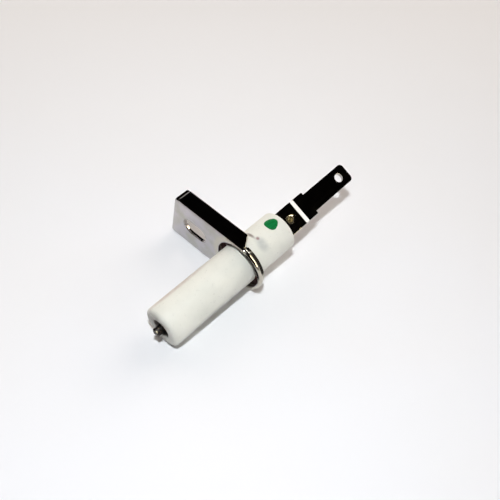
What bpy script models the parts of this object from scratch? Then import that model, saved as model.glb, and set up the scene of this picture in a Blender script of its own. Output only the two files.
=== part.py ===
"""Spark ignition electrode: a ceramic bar with a metal rod, a spade terminal and a fixing bracket.

World frame: +X runs along the ceramic from the spark tip to the terminal, +Y along the bracket's
arm, +Z towards the bracket's folded flange. The origin is the centre of the bracket's fixing slot
on the plate's front face. Every shape below is built around the ceramic's axis, and an empty on
that axis places the whole assembly.
"""
import math

import bmesh
import bpy
from mathutils import Matrix, Vector

MM = 0.001

# Ceramic insulator: a straight bar with rounded rims, bored through for the rod (mm)
CERAMIC_RADIUS = 2.72
SPARK_END_X = -12.75
TERMINAL_END_X = 7.80
SPARK_RIM_ROUND = 0.55
TERMINAL_RIM_ROUND = 0.35
BORE_RADIUS = 0.70
SPARK_RECESS_RADIUS = 1.25
SPARK_RECESS_DEPTH = 1.90
TERMINAL_RECESS_RADIUS = 1.55
TERMINAL_RECESS_DEPTH = 2.60
GROOVE_RADIUS = 2.45
GROOVE_CLEARANCE = 0.10

# Electrode rod (mm)
ROD_RADIUS = 0.60
ROD_TIP_X = -13.60
ROD_TAIL_X = 10.60
ROD_END_ROUND = 0.12

# Cement plugs around the rod (mm)
CEMENT_GAP = 0.04
SPARK_PLUG_SETBACK = 0.90
TERMINAL_PLUG_SETBACK = 0.20

# Mounting bracket, bent from one sheet (mm)
SHEET = 0.50
RING_OUTER_RADIUS = 3.90
RING_HOLE_RADIUS = 3.40
ARM_END_TOP_Y = 11.12
ARM_END_BOTTOM_Y = 12.92
ARM_CORNER_ROUND = 0.35
FLANGE_DEPTH = 2.24
FLANGE_START_FRONT_Y = -0.85
FLANGE_START_BACK_Y = 0.25
BEND_INNER_RADIUS = 0.08
SLOT_CENTRE_Y = 7.80
SLOT_LENGTH = 4.20
SLOT_HEIGHT = 2.60

# Toothed clip ring behind the bracket's ring (mm)
CLIP_OUTER_RADIUS = 3.65
CLIP_WEB_RADIUS = 2.95
CLIP_TOOTH_RADIUS = 2.55
CLIP_THICKNESS = 0.50
CLIP_GAP = 0.05
TOOTH_COUNT = 6
TOOTH_FIRST_ANGLE = math.radians(41.0)
TOOTH_WIDTH_ANGLE = math.radians(22.0)
CLIP_FLANGE_GAP = 0.06

# Spade terminal, rolled about the ceramic's axis (mm)
TERMINAL_ROLL = math.radians(27.3)
TERMINAL_YAW = math.radians(0.8)
TERMINAL_THICKNESS = 0.50
BASE_START_X = 7.95
BASE_HALF_WIDTH = 1.80
BASE_HEIGHT = 0.88
JOGGLE_START_X = 10.82
JOGGLE_END_X = 11.74
TAB_HEIGHT = 0.46
SHOULDER_X = 13.55
TAB_HALF_WIDTH = 1.40
TAB_END_X = 21.45
TAB_CORNER_ROUND = 0.60
TAB_HOLE_X = 19.66
TAB_HOLE_RADIUS = 0.62

# Braze plug that joins the terminal's base to the rod (mm)
WELD_X = 9.30
WELD_HOLE_RADIUS = 0.46
WELD_RADIUS = 0.42
WELD_FOOT_HEIGHT = 0.66
WELD_CROWN_RISE = 0.14

# Paint dot on the ceramic's rear section (mm)
DOT_CENTRE_X = 6.05
DOT_LENGTH = 1.75
DOT_WIDTH = 1.45
DOT_TAPER = 0.30
DOT_GAP = 0.01
DOT_THICKNESS = 0.06

ROUND_STEPS = 48
SMALL_ROUND_STEPS = 24
ARC_POINTS = 6
CUT_MARGIN = 1.0
CUTTER_LENGTH = 4.0
MERGE_DISTANCE = 0.000001
SHARP_ANGLE = math.radians(35.0)


def clear_scene():
    """Remove every object, so that the script can be run again."""
    for old in list(bpy.data.objects):
        bpy.data.objects.remove(old, do_unlink=True)


def new_collection(name):
    """Return an empty collection of this name, linked to the scene."""
    collection = bpy.data.collections.get(name) or bpy.data.collections.new(name)
    if collection.name not in bpy.context.scene.collection.children:
        bpy.context.scene.collection.children.link(collection)
    return collection


def principled(name, colour, roughness, metallic):
    """Return a Principled material."""
    material = bpy.data.materials.new(name)
    material.use_nodes = True
    shader = material.node_tree.nodes["Principled BSDF"]
    shader.inputs["Base Color"].default_value = (*colour, 1.0)
    shader.inputs["Roughness"].default_value = roughness
    shader.inputs["Metallic"].default_value = metallic
    return material


def arc(centre, radius, start, end, points=ARC_POINTS):
    """Points on an arc from angle start to angle end, both included."""
    angles = [start + (end - start) * i / (points - 1) for i in range(points)]
    return [(centre[0] + radius * math.cos(a), centre[1] + radius * math.sin(a)) for a in angles]


def add_object(name, data, collection):
    """Link a new object to its collection."""
    made = bpy.data.objects.new(name, data)
    collection.objects.link(made)
    return made


def turned(name, profile, collection, steps=ROUND_STEPS, closed=False):
    """Turn a profile of (radius, x) points in mm about the ceramic's axis.

    The profile runs down its outer side, from the terminal end to the spark end. A closed
    profile goes back up its inner side.
    """
    mesh = bpy.data.meshes.new(name)
    corners = [(radius * MM, 0.0, along * MM) for radius, along in profile]
    edges = [(i, i + 1) for i in range(len(corners) - 1)]
    if closed:
        edges.append((len(corners) - 1, 0))
    mesh.from_pydata(corners, edges, [])
    made = add_object(name, mesh, collection)
    made.rotation_euler = (0.0, math.radians(90.0), 0.0)
    screw = made.modifiers.new("Turn", "SCREW")
    screw.axis = "Z"
    screw.angle = math.tau
    screw.steps = steps
    screw.render_steps = steps
    screw.use_merge_vertices = True
    screw.merge_threshold = MERGE_DISTANCE
    screw.use_smooth_shade = True
    return made


def flat_solid(name, outline, thickness, collection, holes=()):
    """Extrude a flat outline in mm, with holes, to a solid centred on its plane."""
    curve = bpy.data.curves.new(name, "CURVE")
    curve.dimensions = "2D"
    curve.fill_mode = "BOTH"
    curve.extrude = thickness * MM / 2.0
    for loop in (outline, *holes):
        spline = curve.splines.new("POLY")
        spline.points.add(len(loop) - 1)
        for point, (across, up) in zip(spline.points, loop):
            point.co = (across * MM, up * MM, 0.0, 1.0)
        spline.use_cyclic_u = True
    guide = bpy.data.objects.new(name + "_outline", curve)
    collection.objects.link(guide)
    mesh = bpy.data.meshes.new_from_object(guide.evaluated_get(bpy.context.evaluated_depsgraph_get()))
    bpy.data.objects.remove(guide, do_unlink=True)
    weld = bmesh.new()
    weld.from_mesh(mesh)
    bmesh.ops.remove_doubles(weld, verts=weld.verts, dist=MERGE_DISTANCE)
    bmesh.ops.recalc_face_normals(weld, faces=weld.faces)
    weld.to_mesh(mesh)
    weld.free()
    mesh.name = name
    return add_object(name, mesh, collection)


def place(made, x_axis, y_axis, origin=(0.0, 0.0, 0.0)):
    """Turn an object so that its own X and Y lie along these axes, and move it to origin (mm)."""
    x_axis = Vector(x_axis).normalized()
    y_axis = Vector(y_axis).normalized()
    z_axis = x_axis.cross(y_axis)
    turn = Matrix((x_axis, y_axis, z_axis)).transposed()
    made.rotation_euler = turn.to_euler()
    made.location = Vector(origin) * MM


def cylinder_cutter(name, radius, length, collection, steps=ROUND_STEPS):
    """A cylinder in mm along its own Z, centred on its origin."""
    bpy.ops.mesh.primitive_cylinder_add(vertices=steps, radius=radius * MM, depth=length * MM)
    made = bpy.context.active_object
    made.name = name
    for owner in list(made.users_collection):
        owner.objects.unlink(made)
    collection.objects.link(made)
    return made


def boolean(made, cutter, operation="DIFFERENCE"):
    """Cut a part with a cutter, which is then hidden."""
    modifier = made.modifiers.new(cutter.name, "BOOLEAN")
    modifier.operation = operation
    modifier.object = cutter
    cutter.hide_render = True
    cutter.display_type = "WIRE"


def smooth(made):
    """Shade round surfaces smooth and keep the edges sharp."""
    made.data.shade_smooth()
    made.data.set_sharp_from_angle(angle=SHARP_ANGLE)


# ---------------------------------------------------------------- pieces turned about the axis

def clip_back_x():
    """The clip ring's back face."""
    return SHEET + CLIP_GAP + CLIP_THICKNESS


def make_ceramic(parts):
    """White ceramic bar with a groove for the clip ring, a recess at each end and a bore."""
    groove_back = clip_back_x() + GROOVE_CLEARANCE
    groove_front = SHEET - GROOVE_CLEARANCE
    rear_centre = (CERAMIC_RADIUS - TERMINAL_RIM_ROUND, TERMINAL_END_X - TERMINAL_RIM_ROUND)
    front_centre = (CERAMIC_RADIUS - SPARK_RIM_ROUND, SPARK_END_X + SPARK_RIM_ROUND)
    quarter = math.radians(90.0)
    profile = [(TERMINAL_RECESS_RADIUS, TERMINAL_END_X)]
    profile += arc(rear_centre, TERMINAL_RIM_ROUND, quarter, 0.0)
    profile += [(CERAMIC_RADIUS, groove_back), (GROOVE_RADIUS, groove_back)]
    profile += [(GROOVE_RADIUS, groove_front), (CERAMIC_RADIUS, groove_front)]
    profile += arc(front_centre, SPARK_RIM_ROUND, 0.0, -quarter)
    profile += [(SPARK_RECESS_RADIUS, SPARK_END_X)]
    profile += [(SPARK_RECESS_RADIUS, SPARK_END_X + SPARK_RECESS_DEPTH)]
    profile += [(BORE_RADIUS, SPARK_END_X + SPARK_RECESS_DEPTH)]
    profile += [(BORE_RADIUS, TERMINAL_END_X - TERMINAL_RECESS_DEPTH)]
    profile += [(TERMINAL_RECESS_RADIUS, TERMINAL_END_X - TERMINAL_RECESS_DEPTH)]
    return turned("ceramic_insulator", profile, parts, closed=True)


def make_rod(parts):
    """Electrode rod, from the spark tip through the bore to under the terminal's base."""
    quarter = math.radians(90.0)
    tail_centre = (ROD_RADIUS - ROD_END_ROUND, ROD_TAIL_X - ROD_END_ROUND)
    tip_centre = (ROD_RADIUS - ROD_END_ROUND, ROD_TIP_X + ROD_END_ROUND)
    profile = [(0.0, ROD_TAIL_X)]
    profile += arc(tail_centre, ROD_END_ROUND, quarter, 0.0, points=3)
    profile += arc(tip_centre, ROD_END_ROUND, 0.0, -quarter, points=3)
    profile += [(0.0, ROD_TIP_X)]
    return turned("electrode_rod", profile, parts, steps=SMALL_ROUND_STEPS)


def cement_plug(name, hole_radius, back_x, front_x, parts):
    """A ring of cement between the rod and the wall of a recess."""
    outer = hole_radius - CEMENT_GAP
    inner = ROD_RADIUS + CEMENT_GAP
    profile = [(outer, back_x), (outer, front_x), (inner, front_x), (inner, back_x)]
    return turned(name, profile, parts, steps=ROUND_STEPS, closed=True)


def make_cement(parts):
    """Both cement plugs, set back a little from the ceramic's end faces."""
    front_floor = SPARK_END_X + SPARK_RECESS_DEPTH - CEMENT_GAP
    rear_floor = TERMINAL_END_X - TERMINAL_RECESS_DEPTH + CEMENT_GAP
    front = cement_plug("front_cement_plug", SPARK_RECESS_RADIUS, front_floor,
                        SPARK_END_X + SPARK_PLUG_SETBACK, parts)
    rear = cement_plug("rear_cement_plug", TERMINAL_RECESS_RADIUS,
                       TERMINAL_END_X - TERMINAL_PLUG_SETBACK, rear_floor, parts)
    return front, rear


# ---------------------------------------------------------------- bracket and clip ring

def slot_outline():
    """The fixing slot: straight sides and half-round ends."""
    radius = SLOT_HEIGHT / 2.0
    half = SLOT_LENGTH / 2.0 - radius
    quarter = math.radians(90.0)
    outline = arc((SLOT_CENTRE_Y + half, 0.0), radius, -quarter, quarter, points=13)
    outline += arc((SLOT_CENTRE_Y - half, 0.0), radius, quarter, 3 * quarter, points=13)
    return outline


def make_bracket(parts, cutters):
    """Plate with arm, ring and slot, and a flange folded back along the top edge."""
    quarter = math.radians(90.0)
    slant = math.atan2(ARM_END_BOTTOM_Y - ARM_END_TOP_Y, 2.0 * RING_OUTER_RADIUS)
    corner = (ARM_END_BOTTOM_Y - ARM_CORNER_ROUND * (1.0 + math.sin(slant)) / math.cos(slant),
              -RING_OUTER_RADIUS + ARM_CORNER_ROUND)
    outline = arc(corner, ARM_CORNER_ROUND, -quarter, slant)
    outline += [(ARM_END_TOP_Y, RING_OUTER_RADIUS)]
    outline += arc((0.0, 0.0), RING_OUTER_RADIUS, quarter, 3 * quarter, points=25)
    block = flat_solid("mounting_bracket", outline, FLANGE_DEPTH, parts)
    place(block, (0, 1, 0), (0, 0, 1), (FLANGE_DEPTH / 2.0, 0.0, 0.0))

    outer_bend = BEND_INNER_RADIUS + SHEET
    inner_top = RING_OUTER_RADIUS - SHEET
    far_y = ARM_END_BOTTOM_Y + CUT_MARGIN
    deep_x = FLANGE_DEPTH + CUT_MARGIN
    low_z = -RING_OUTER_RADIUS - CUT_MARGIN
    high_z = RING_OUTER_RADIUS + CUT_MARGIN

    behind = arc((SHEET + BEND_INNER_RADIUS, inner_top - BEND_INNER_RADIUS), BEND_INNER_RADIUS,
                 2 * quarter, quarter)
    behind += [(deep_x, inner_top), (deep_x, low_z), (SHEET, low_z)]
    length = 2.0 * far_y
    hollow = flat_solid("cut_behind_plate", behind, length, cutters)
    place(hollow, (1, 0, 0), (0, 0, 1))
    boolean(block, hollow)

    wedge = [(SHEET, FLANGE_START_FRONT_Y), (SHEET, -far_y), (deep_x, -far_y)]
    slope = (FLANGE_START_BACK_Y - FLANGE_START_FRONT_Y) / (FLANGE_DEPTH - SHEET)
    wedge += [(deep_x, FLANGE_START_BACK_Y + slope * CUT_MARGIN)]
    trim = flat_solid("cut_flange_start", wedge, 2.0 * high_z, cutters)
    place(trim, (1, 0, 0), (0, 1, 0))
    boolean(block, trim)

    bend = arc((outer_bend, RING_OUTER_RADIUS - outer_bend), outer_bend, 2 * quarter, quarter)
    bend += [(outer_bend, high_z), (-CUT_MARGIN, high_z), (-CUT_MARGIN, RING_OUTER_RADIUS - outer_bend)]
    fold = flat_solid("cut_bend_round", bend, far_y - FLANGE_START_FRONT_Y, cutters)
    place(fold, (1, 0, 0), (0, 0, 1), (0.0, (far_y + FLANGE_START_FRONT_Y) / 2.0, 0.0))
    boolean(block, fold)

    slot = flat_solid("cut_slot", slot_outline(), CUTTER_LENGTH, cutters)
    place(slot, (0, 1, 0), (0, 0, 1))
    boolean(block, slot)
    hole = cylinder_cutter("cut_ring_hole", RING_HOLE_RADIUS, CUTTER_LENGTH, cutters)
    place(hole, (0, 1, 0), (0, 0, 1))
    boolean(block, hole)
    return block


def make_clip(parts):
    """Ring with teeth that snap into the ceramic's groove, and a step that takes the flange."""
    pitch = math.tau / TOOTH_COUNT
    inner = []
    for tooth in range(TOOTH_COUNT):
        centre = TOOTH_FIRST_ANGLE + tooth * pitch
        left = centre + TOOTH_WIDTH_ANGLE / 2.0
        next_right = centre + pitch - TOOTH_WIDTH_ANGLE / 2.0
        inner += arc((0.0, 0.0), CLIP_TOOTH_RADIUS, centre - TOOTH_WIDTH_ANGLE / 2.0, left, points=4)
        inner += arc((0.0, 0.0), CLIP_WEB_RADIUS, left, next_right, points=6)
    step_y = FLANGE_START_FRONT_Y - CLIP_FLANGE_GAP
    step_z = RING_OUTER_RADIUS - SHEET - CLIP_FLANGE_GAP
    right_end = math.asin(step_z / CLIP_OUTER_RADIUS)
    left_end = math.acos(step_y / CLIP_OUTER_RADIUS) - math.tau
    outer = arc((0.0, 0.0), CLIP_OUTER_RADIUS, right_end, left_end, points=ROUND_STEPS)
    outer.append((step_y, step_z))
    clip = flat_solid("clip_ring", outer, CLIP_THICKNESS, parts, holes=[inner])
    place(clip, (0, 1, 0), (0, 0, 1), (SHEET + CLIP_GAP + CLIP_THICKNESS / 2.0, 0.0, 0.0))
    return clip


# ---------------------------------------------------------------- terminal and its weld

def terminal_axes():
    """Directions along, across and up from the terminal, rolled and turned a little in its plane."""
    across = Vector((0.0, math.cos(TERMINAL_ROLL), math.sin(TERMINAL_ROLL)))
    upward = Vector((0.0, -math.sin(TERMINAL_ROLL), math.cos(TERMINAL_ROLL)))
    along = Vector((1.0, 0.0, 0.0)) * math.cos(TERMINAL_YAW) + across * math.sin(TERMINAL_YAW)
    return along, upward.cross(along), upward


def make_terminal(parts, cutters):
    """Stamped terminal: wide base, joggle down, shoulders and a tab with a latching hole."""
    along, across, upward = terminal_axes()
    half = TERMINAL_THICKNESS / 2.0
    tilt = math.atan2(BASE_HEIGHT - TAB_HEIGHT, JOGGLE_END_X - JOGGLE_START_X)
    shift = half * math.tan(tilt / 2.0)
    upper = [(BASE_START_X, BASE_HEIGHT + half), (JOGGLE_START_X + shift, BASE_HEIGHT + half)]
    upper += [(JOGGLE_END_X + shift, TAB_HEIGHT + half), (TAB_END_X, TAB_HEIGHT + half)]
    lower = [(TAB_END_X, TAB_HEIGHT - half), (JOGGLE_END_X - shift, TAB_HEIGHT - half)]
    lower += [(JOGGLE_START_X - shift, BASE_HEIGHT - half), (BASE_START_X, BASE_HEIGHT - half)]
    strip = flat_solid("spade_terminal", upper + lower, 2.0 * BASE_HALF_WIDTH, parts)
    place(strip, along, upward)

    quarter = math.radians(90.0)
    wide = BASE_HALF_WIDTH + CUT_MARGIN
    far_x = TAB_END_X + CUT_MARGIN
    end_centre = (TAB_END_X - TAB_CORNER_ROUND, TAB_HALF_WIDTH - TAB_CORNER_ROUND)
    side = [(SHOULDER_X, wide), (SHOULDER_X, TAB_HALF_WIDTH)]
    side += arc(end_centre, TAB_CORNER_ROUND, quarter, 0.0)
    side += [(TAB_END_X, 0.0), (far_x, 0.0), (far_x, wide)]
    for sign, label in ((1.0, "upper"), (-1.0, "lower")):
        trim = flat_solid("cut_tab_" + label, [(x, sign * w) for x, w in side], CUTTER_LENGTH, cutters)
        place(trim, along, across)
        boolean(strip, trim)

    drills = (("cut_tab_hole", TAB_HOLE_X, TAB_HOLE_RADIUS), ("cut_weld_hole", WELD_X, WELD_HOLE_RADIUS))
    for label, distance, radius in drills:
        drill = cylinder_cutter(label, radius, CUTTER_LENGTH, cutters, steps=SMALL_ROUND_STEPS)
        place(drill, along, across, along * distance)
        boolean(strip, drill)
    return strip


def make_weld(parts):
    """Braze plug in the base's hole, with a low crown on top and its foot on the rod."""
    along, across, _ = terminal_axes()
    base_top = BASE_HEIGHT + TERMINAL_THICKNESS / 2.0
    turns = [math.radians(90.0) * (1.0 - i / (ARC_POINTS - 1)) for i in range(ARC_POINTS)]
    crown = [(WELD_RADIUS * math.cos(a), base_top + WELD_CROWN_RISE * math.sin(a)) for a in turns]
    profile = [(0.0, crown[0][1])] + crown[1:] + [(WELD_RADIUS, WELD_FOOT_HEIGHT), (0.0, WELD_FOOT_HEIGHT)]
    weld = turned("terminal_weld", profile, parts, steps=SMALL_ROUND_STEPS)
    place(weld, along, across, along * WELD_X)
    return weld


# ---------------------------------------------------------------- paint dot

def make_dot(parts, cutters):
    """A film of paint: a thin tube on the ceramic, cut to a rounded teardrop seen from above."""
    inner = CERAMIC_RADIUS + DOT_GAP
    outer = inner + DOT_THICKNESS
    back, front = DOT_CENTRE_X + DOT_LENGTH, DOT_CENTRE_X - DOT_LENGTH
    profile = [(outer, back), (outer, front), (inner, front), (inner, back)]
    film = turned("identification_dot", profile, parts, closed=True)
    outline = []
    for i in range(SMALL_ROUND_STEPS):
        a = math.tau * i / SMALL_ROUND_STEPS
        half_width = 0.5 * DOT_WIDTH * (1.0 + DOT_TAPER * math.cos(a))
        outline.append((DOT_CENTRE_X + 0.5 * DOT_LENGTH * math.cos(a), half_width * math.sin(a)))
    shape = flat_solid("cut_dot_outline", outline, CUTTER_LENGTH, cutters)
    place(shape, (1, 0, 0), (0, 1, 0), (0.0, 0.0, CERAMIC_RADIUS))
    boolean(film, shape, "INTERSECT")
    return film


# ---------------------------------------------------------------- assembly

def main():
    """Build every piece, give it its material and hang it on the ceramic's axis."""
    clear_scene()
    parts = new_collection("ignition_electrode")
    cutters = new_collection("cutters")
    plated = principled("nickel_plated_steel", (0.72, 0.71, 0.69), 0.18, 1.0)
    ceramic = principled("ceramic", (0.88, 0.88, 0.82), 0.55, 0.0)
    rod_steel = principled("rod_steel", (0.30, 0.28, 0.26), 0.35, 1.0)
    cement = principled("cement", (0.20, 0.18, 0.16), 0.85, 0.0)
    braze = principled("braze", (0.70, 0.56, 0.28), 0.35, 1.0)
    paint = principled("green_paint", (0.01, 0.22, 0.05), 0.45, 0.0)

    front_plug, rear_plug = make_cement(parts)
    finishes = (
        (make_ceramic(parts), ceramic),
        (make_rod(parts), rod_steel),
        (front_plug, cement),
        (rear_plug, cement),
        (make_bracket(parts, cutters), plated),
        (make_clip(parts), plated),
        (make_terminal(parts, cutters), plated),
        (make_weld(parts), braze),
        (make_dot(parts, cutters), paint),
    )
    axis = bpy.data.objects.new("insulator_axis", None)
    parts.objects.link(axis)
    axis.location = (0.0, -SLOT_CENTRE_Y * MM, 0.0)
    for made, material in finishes:
        made.data.materials.append(material)
        smooth(made)
        made.parent = axis
    for cutter in cutters.objects:
        cutter.parent = axis


main()
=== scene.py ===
"""Looks of a spark ignition electrode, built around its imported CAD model.

Every piece is made in millimetres around the ceramic's axis: X along the ceramic from the spark
tip to the terminal, Y along the bracket's arm, Z towards its flange. The last step of each piece
scales it to metres and moves it to where the CAD model has that axis.
"""
import math

import bmesh
import bpy
from mathutils import Matrix, Vector, noise


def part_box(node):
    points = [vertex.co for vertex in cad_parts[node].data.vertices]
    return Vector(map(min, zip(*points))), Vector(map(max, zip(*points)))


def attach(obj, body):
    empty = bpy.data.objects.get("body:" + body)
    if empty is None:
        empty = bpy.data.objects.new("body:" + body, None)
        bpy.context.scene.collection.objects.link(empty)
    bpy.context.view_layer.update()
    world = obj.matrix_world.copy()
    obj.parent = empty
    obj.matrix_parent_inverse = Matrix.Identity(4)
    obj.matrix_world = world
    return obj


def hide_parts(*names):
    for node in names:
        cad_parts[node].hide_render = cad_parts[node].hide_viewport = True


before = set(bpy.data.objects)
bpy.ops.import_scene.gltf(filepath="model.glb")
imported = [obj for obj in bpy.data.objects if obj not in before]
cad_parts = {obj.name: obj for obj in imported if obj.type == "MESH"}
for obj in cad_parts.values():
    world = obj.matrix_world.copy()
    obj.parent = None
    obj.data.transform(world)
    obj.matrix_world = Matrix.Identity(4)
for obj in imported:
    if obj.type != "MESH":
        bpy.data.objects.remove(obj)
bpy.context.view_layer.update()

MM = 0.001
QUARTER = math.radians(90.0)
SHARP_ANGLE = math.radians(38.0)
MERGE_DISTANCE = 0.001
EDGE_TOLERANCE = 0.01
EDGE_EASE_LENGTH = 0.5


def box_mm(node):
    """A CAD node's lowest and highest corners, in millimetres about the ceramic's axis."""
    low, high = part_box(node)
    shift = Vector((0.0, AXIS_Y, 0.0))
    return (low - shift) / MM, (high - shift) / MM


# ---------------------------------------------------------------- sizes, from the frame
ceramic_low, ceramic_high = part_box("ceramic_insulator")
AXIS_Y = (ceramic_low.y + ceramic_high.y) / 2.0

ceramic_low, ceramic_high = box_mm("ceramic_insulator")
SPARK_END_X, TERMINAL_END_X = ceramic_low.x, ceramic_high.x
CERAMIC_RADIUS = ceramic_high.z

rod_low, rod_high = box_mm("electrode_rod")
ROD_TIP_X, ROD_TAIL_X = rod_low.x, rod_high.x
ROD_RADIUS = rod_high.z

_, bracket_high = box_mm("mounting_bracket")
FLANGE_DEPTH = bracket_high.x
RING_RADIUS = bracket_high.z
ARM_END_Y = bracket_high.y

clip_low, clip_high = box_mm("clip_ring")
CLIP_RADIUS = -clip_low.z

front_plug_low, front_plug_high = box_mm("front_cement_plug")
rear_plug_low, rear_plug_high = box_mm("rear_cement_plug")
dot_low, dot_high = box_mm("identification_dot")

# ---------------------------------------------------------------- sizes the boxes don't give (mm)
SPARK_RIM_ROUND = 0.55
TERMINAL_RIM_ROUND = 0.35
RECESS_LIP_ROUND = 0.12
SPARK_RECESS_RADIUS = 1.25
TERMINAL_RECESS_RADIUS = 1.55
BORE_RADIUS = 0.70
GROOVE_RADIUS = 2.45
GROOVE_CLEARANCE = 0.10
GROOVE_EDGE_ROUND = 0.06
CEMENT_GAP = 0.04
CEMENT_SAG = 0.16
CEMENT_LUMPS = 0.08

ROD_END_ROUND = 0.12
ROD_ROUGH_LENGTH = 1.4
ROD_CROP_SHARE = 0.16
ROD_CROP_PULL = 0.10

SHEET = 0.50
FRONT_SIDE = -SHEET / 2.0
EDGE_ROUND = 0.13
HOLE_EDGE_ROUND = 0.03
RING_EDGE_ROUND = 0.25
RING_HOLE_RADIUS = 3.40
RING_ROUND_START = math.radians(102.0)
RING_ROUND_END = math.radians(268.0)
RING_ROUND_START_RUN = math.radians(10.0)
RING_ROUND_END_RUN = math.radians(30.0)
ARM_END_TOP_Y = 11.12
ARM_CORNER_ROUND = 0.35
FLANGE_CORNER_ROUND = 0.30
FLANGE_BACK_ROUND = 0.20
FLANGE_END_ROUND = 0.30
FLANGE_END_ROUND_SHARE = 0.4
END_DIP = 0.10
END_DIP_SETBACK = 0.42
END_DIP_RUN = 0.30
FLANGE_START_FRONT_Y = -0.85
FLANGE_START_BACK_Y = 0.25
BEND_INNER_RADIUS = 0.08
BEND_RELIEF = 0.08
SLOT_CENTRE_Y = -AXIS_Y / MM
SLOT_LENGTH = 4.20
SLOT_HEIGHT = 2.60

CLIP_WEB_RADIUS = 2.95
CLIP_TOOTH_RADIUS = 2.55
TOOTH_COUNT = 6
TOOTH_FIRST_ANGLE = math.radians(41.0)
TOOTH_WIDTH_ANGLE = math.radians(22.0)
CLIP_FLANGE_GAP = 0.06
CLIP_EDGE_ROUND = 0.08

TERMINAL_ROLL = math.radians(27.3)
TERMINAL_YAW = math.radians(0.8)
BASE_START_X = 7.95
BASE_HALF_WIDTH = 1.80
BASE_HEIGHT = 0.88
JOGGLE_START_X = 10.82
JOGGLE_END_X = 11.74
JOGGLE_EASE = 0.06
TAB_HEIGHT = 0.46
SHOULDER_X = 13.55
TAB_HALF_WIDTH = 1.40
TAB_END_X = 21.45
TAB_CORNER_ROUND = 0.60
SHOULDER_CORNER_ROUND = 0.12
TAB_HOLE_X = 19.66
TAB_HOLE_RADIUS = 0.62
TERMINAL_EDGE_ROUND = 0.05

WELD_X = 9.30
WELD_HOLE_RADIUS = 0.46
WELD_SIDE_GAP = 0.04
WELD_DEPTH = 0.22
WELD_CROWN_RISE = 0.14
WELD_LOBES = 3.0
WELD_LOBE_RISE = 0.05
WELD_LUMPS = 0.08
WELD_CROWN_SHARE = 0.93
WELD_LOBE_SHARE = 0.07

DOT_GAP = 0.004
DOT_CORNERS = 3.0
DOT_CORNER_SHARE = 0.065
DOT_LEAN_SHARE = 0.05
DOT_RAGGED_SHARE = 0.03

CAMERA_AZIMUTH = math.radians(-46.04)
CAMERA_ELEVATION = math.radians(53.20)
CAMERA_BACK = 81.87
CAMERA_RIGHT = 1.56
CAMERA_UP = 1.85
CAMERA_SENSOR = 36.0
CAMERA_LENS = 47.16

# ---------------------------------------------------------------- marks, dirt and painted shade, in mm about the axis
# Painted dark band on the ring's front face beside the flange, standing in for a dark reflection: centre,
# size, and the radius where it ends
RING_DARK_BAND_CENTRE = (0.0, -2.75, 2.15)
RING_DARK_BAND_SIZE = (2.5, 1.0 / 0.45, 1.0 / 0.45)
RING_DARK_BAND_END_RADIUS = 3.76

# Bright chip on the rod's tip
BRIGHT_CHIP_CENTRE = (ROD_TIP_X + 0.04, -0.26, 0.46)

# Colour of the painted dark band on the ring's front face
RING_DARK_BAND_COLOUR = (0.012, 0.009, 0.009)
# Colour of the painted shade in the gap between the ring's hole and the ceramic
GAP_SHADE_COLOUR = (0.045, 0.010, 0.013)
TARNISH_COLOUR = (0.52, 0.485, 0.40)
FLUX_STAIN_COLOUR = (0.05, 0.035, 0.014)
# Extra roughness where stains or painted shade lie
STAIN_AND_SHADE_ROUGHNESS = 0.5

# Marks and painted shade on the ceramic: centre, size, and colour. The first is a rub mark and the third a
# reddish speck; the rest are painted shade and shadow
CERAMIC_MARKS_AND_SHADE = (
    ((3.15, -1.25, 2.40), (1.0, 1.65, 1.1), (0.52, 0.53, 0.50)),
    # Painted shadow cast by the flange's back corner on the rear ceramic
    ((3.00, 0.80, 2.55), (0.32, 1.35, 0.9), (0.20, 0.15, 0.13)),
    ((3.25, -0.35, 2.70), (0.33, 0.36, 0.5), (0.24, 0.08, 0.09)),
    # Painted shade: dark outline along the spark rim's +Y side
    ((-12.6, 2.75, 0.2), (0.8, 0.85, 2.6), (0.14, 0.14, 0.13)),
    # Painted contact shadow under the spark rim
    ((-12.7, -1.3, -2.9), (0.7, 2.8, 1.3), (0.06, 0.06, 0.06)),
    # Painted contact shade along the ceramic's lower -Y side
    ((-6.2, -3.0, -1.4), (9.6, 1.1, 1.9), (0.28, 0.29, 0.27)),
    # Painted shade: warm darkening along the upper +Y flank, turned away from the key light
    ((-8.2, 2.05, 1.90), (6.8, 1.0, 1.1), (0.56, 0.46, 0.40)),
    # Painted shade on the spark end's face, which the key light only grazes
    ((-12.95, 0.6, 0.2), (0.75, 3.4, 3.4), (0.27, 0.245, 0.22)),
)


# ---------------------------------------------------------------- mesh helpers

def clamp(share):
    """A share kept between 0 and 1."""
    return min(max(share, 0.0), 1.0)


def smooth(share):
    """A share from 0 to 1, eased at both ends."""
    return share * share * (3.0 - 2.0 * share)


def arc(centre, radius, start, end, points):
    """Points on an arc from angle start to angle end, both included."""
    angles = [start + (end - start) * i / (points - 1) for i in range(points)]
    return [(centre[0] + radius * math.cos(a), centre[1] + radius * math.sin(a)) for a in angles]


def rounded(corner, before, after, radius, points=6):
    """Points that round one corner of an outline, between its two neighbours."""
    corner, before, after = Vector(corner), Vector(before), Vector(after)
    inward = (before - corner).normalized()
    outward = (after - corner).normalized()
    half = inward.angle(outward) / 2.0
    centre = corner + (inward + outward).normalized() * radius / math.sin(half)
    start = corner + inward * radius / math.tan(half) - centre
    end = corner + outward * radius / math.tan(half) - centre
    turn = start.angle_signed(end)
    made = []
    for i in range(points):
        a = -turn * i / (points - 1)
        made.append((centre.x + start.x * math.cos(a) - start.y * math.sin(a),
                     centre.y + start.x * math.sin(a) + start.y * math.cos(a)))
    return made


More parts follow.
